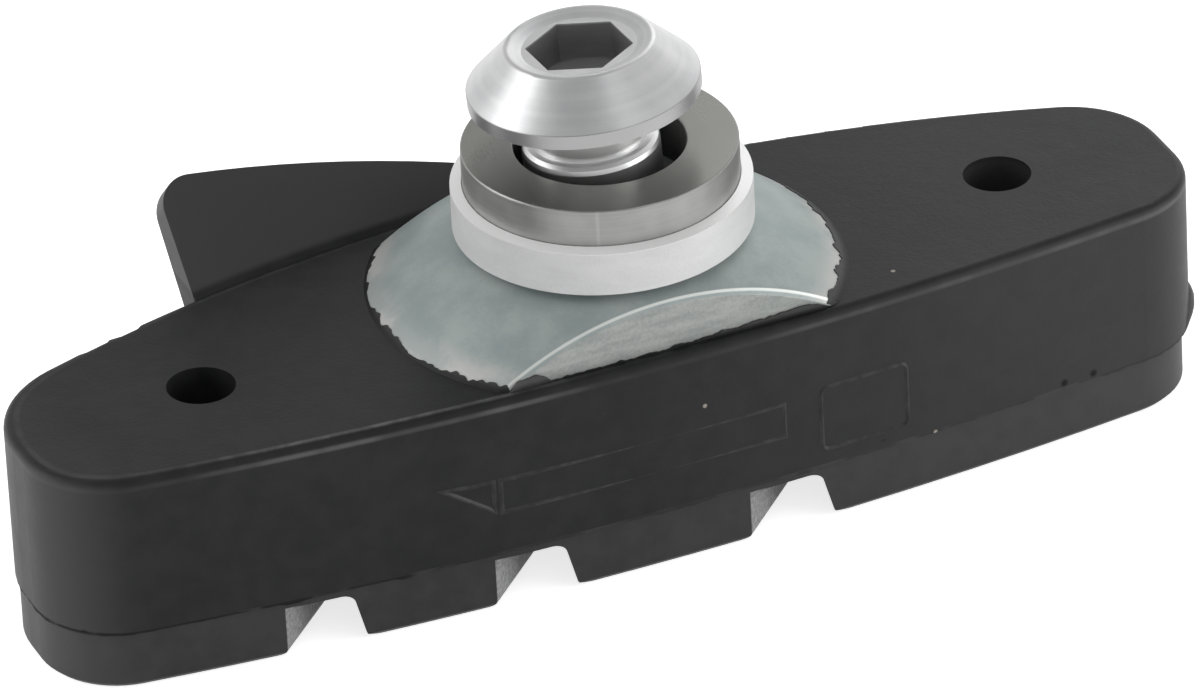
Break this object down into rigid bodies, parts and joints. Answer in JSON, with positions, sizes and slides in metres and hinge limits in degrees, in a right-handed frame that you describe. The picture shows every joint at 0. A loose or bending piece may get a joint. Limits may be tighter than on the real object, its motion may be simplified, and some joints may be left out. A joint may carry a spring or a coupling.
{
  "type": "bicycle rim brake pad",
  "caption": "Rubber rim brake pad with grooved tread, wheel guide fin and moulded-in metal boss, held by a socket screw through a cup washer and a spacer washer.",
  "frame": {"origin": "on the tread face, straight below the centre of the metal boss", "axes": "+X along the pad's length, +Y towards the edge with the wheel guide fin, +Z away from the rim, out of the pad's top"},
  "size_m": [0.0542, 0.0192, 0.0221],
  "materials": {
    "rubber": "matte moulded",
    "plated_metal": "dull zinc plating",
    "matte_aluminium": "fine matte",
    "polished_steel": "polished",
    "satin_steel": "satin turned"
  },
  "bodies": {
    "root": {"brake_block": "rubber", "backing_plate": "plated_metal", "cup_washer": "matte_aluminium", "spacer_washer": "polished_steel", "fixing_screw": "satin_steel"}
  },
  "joints": []
}
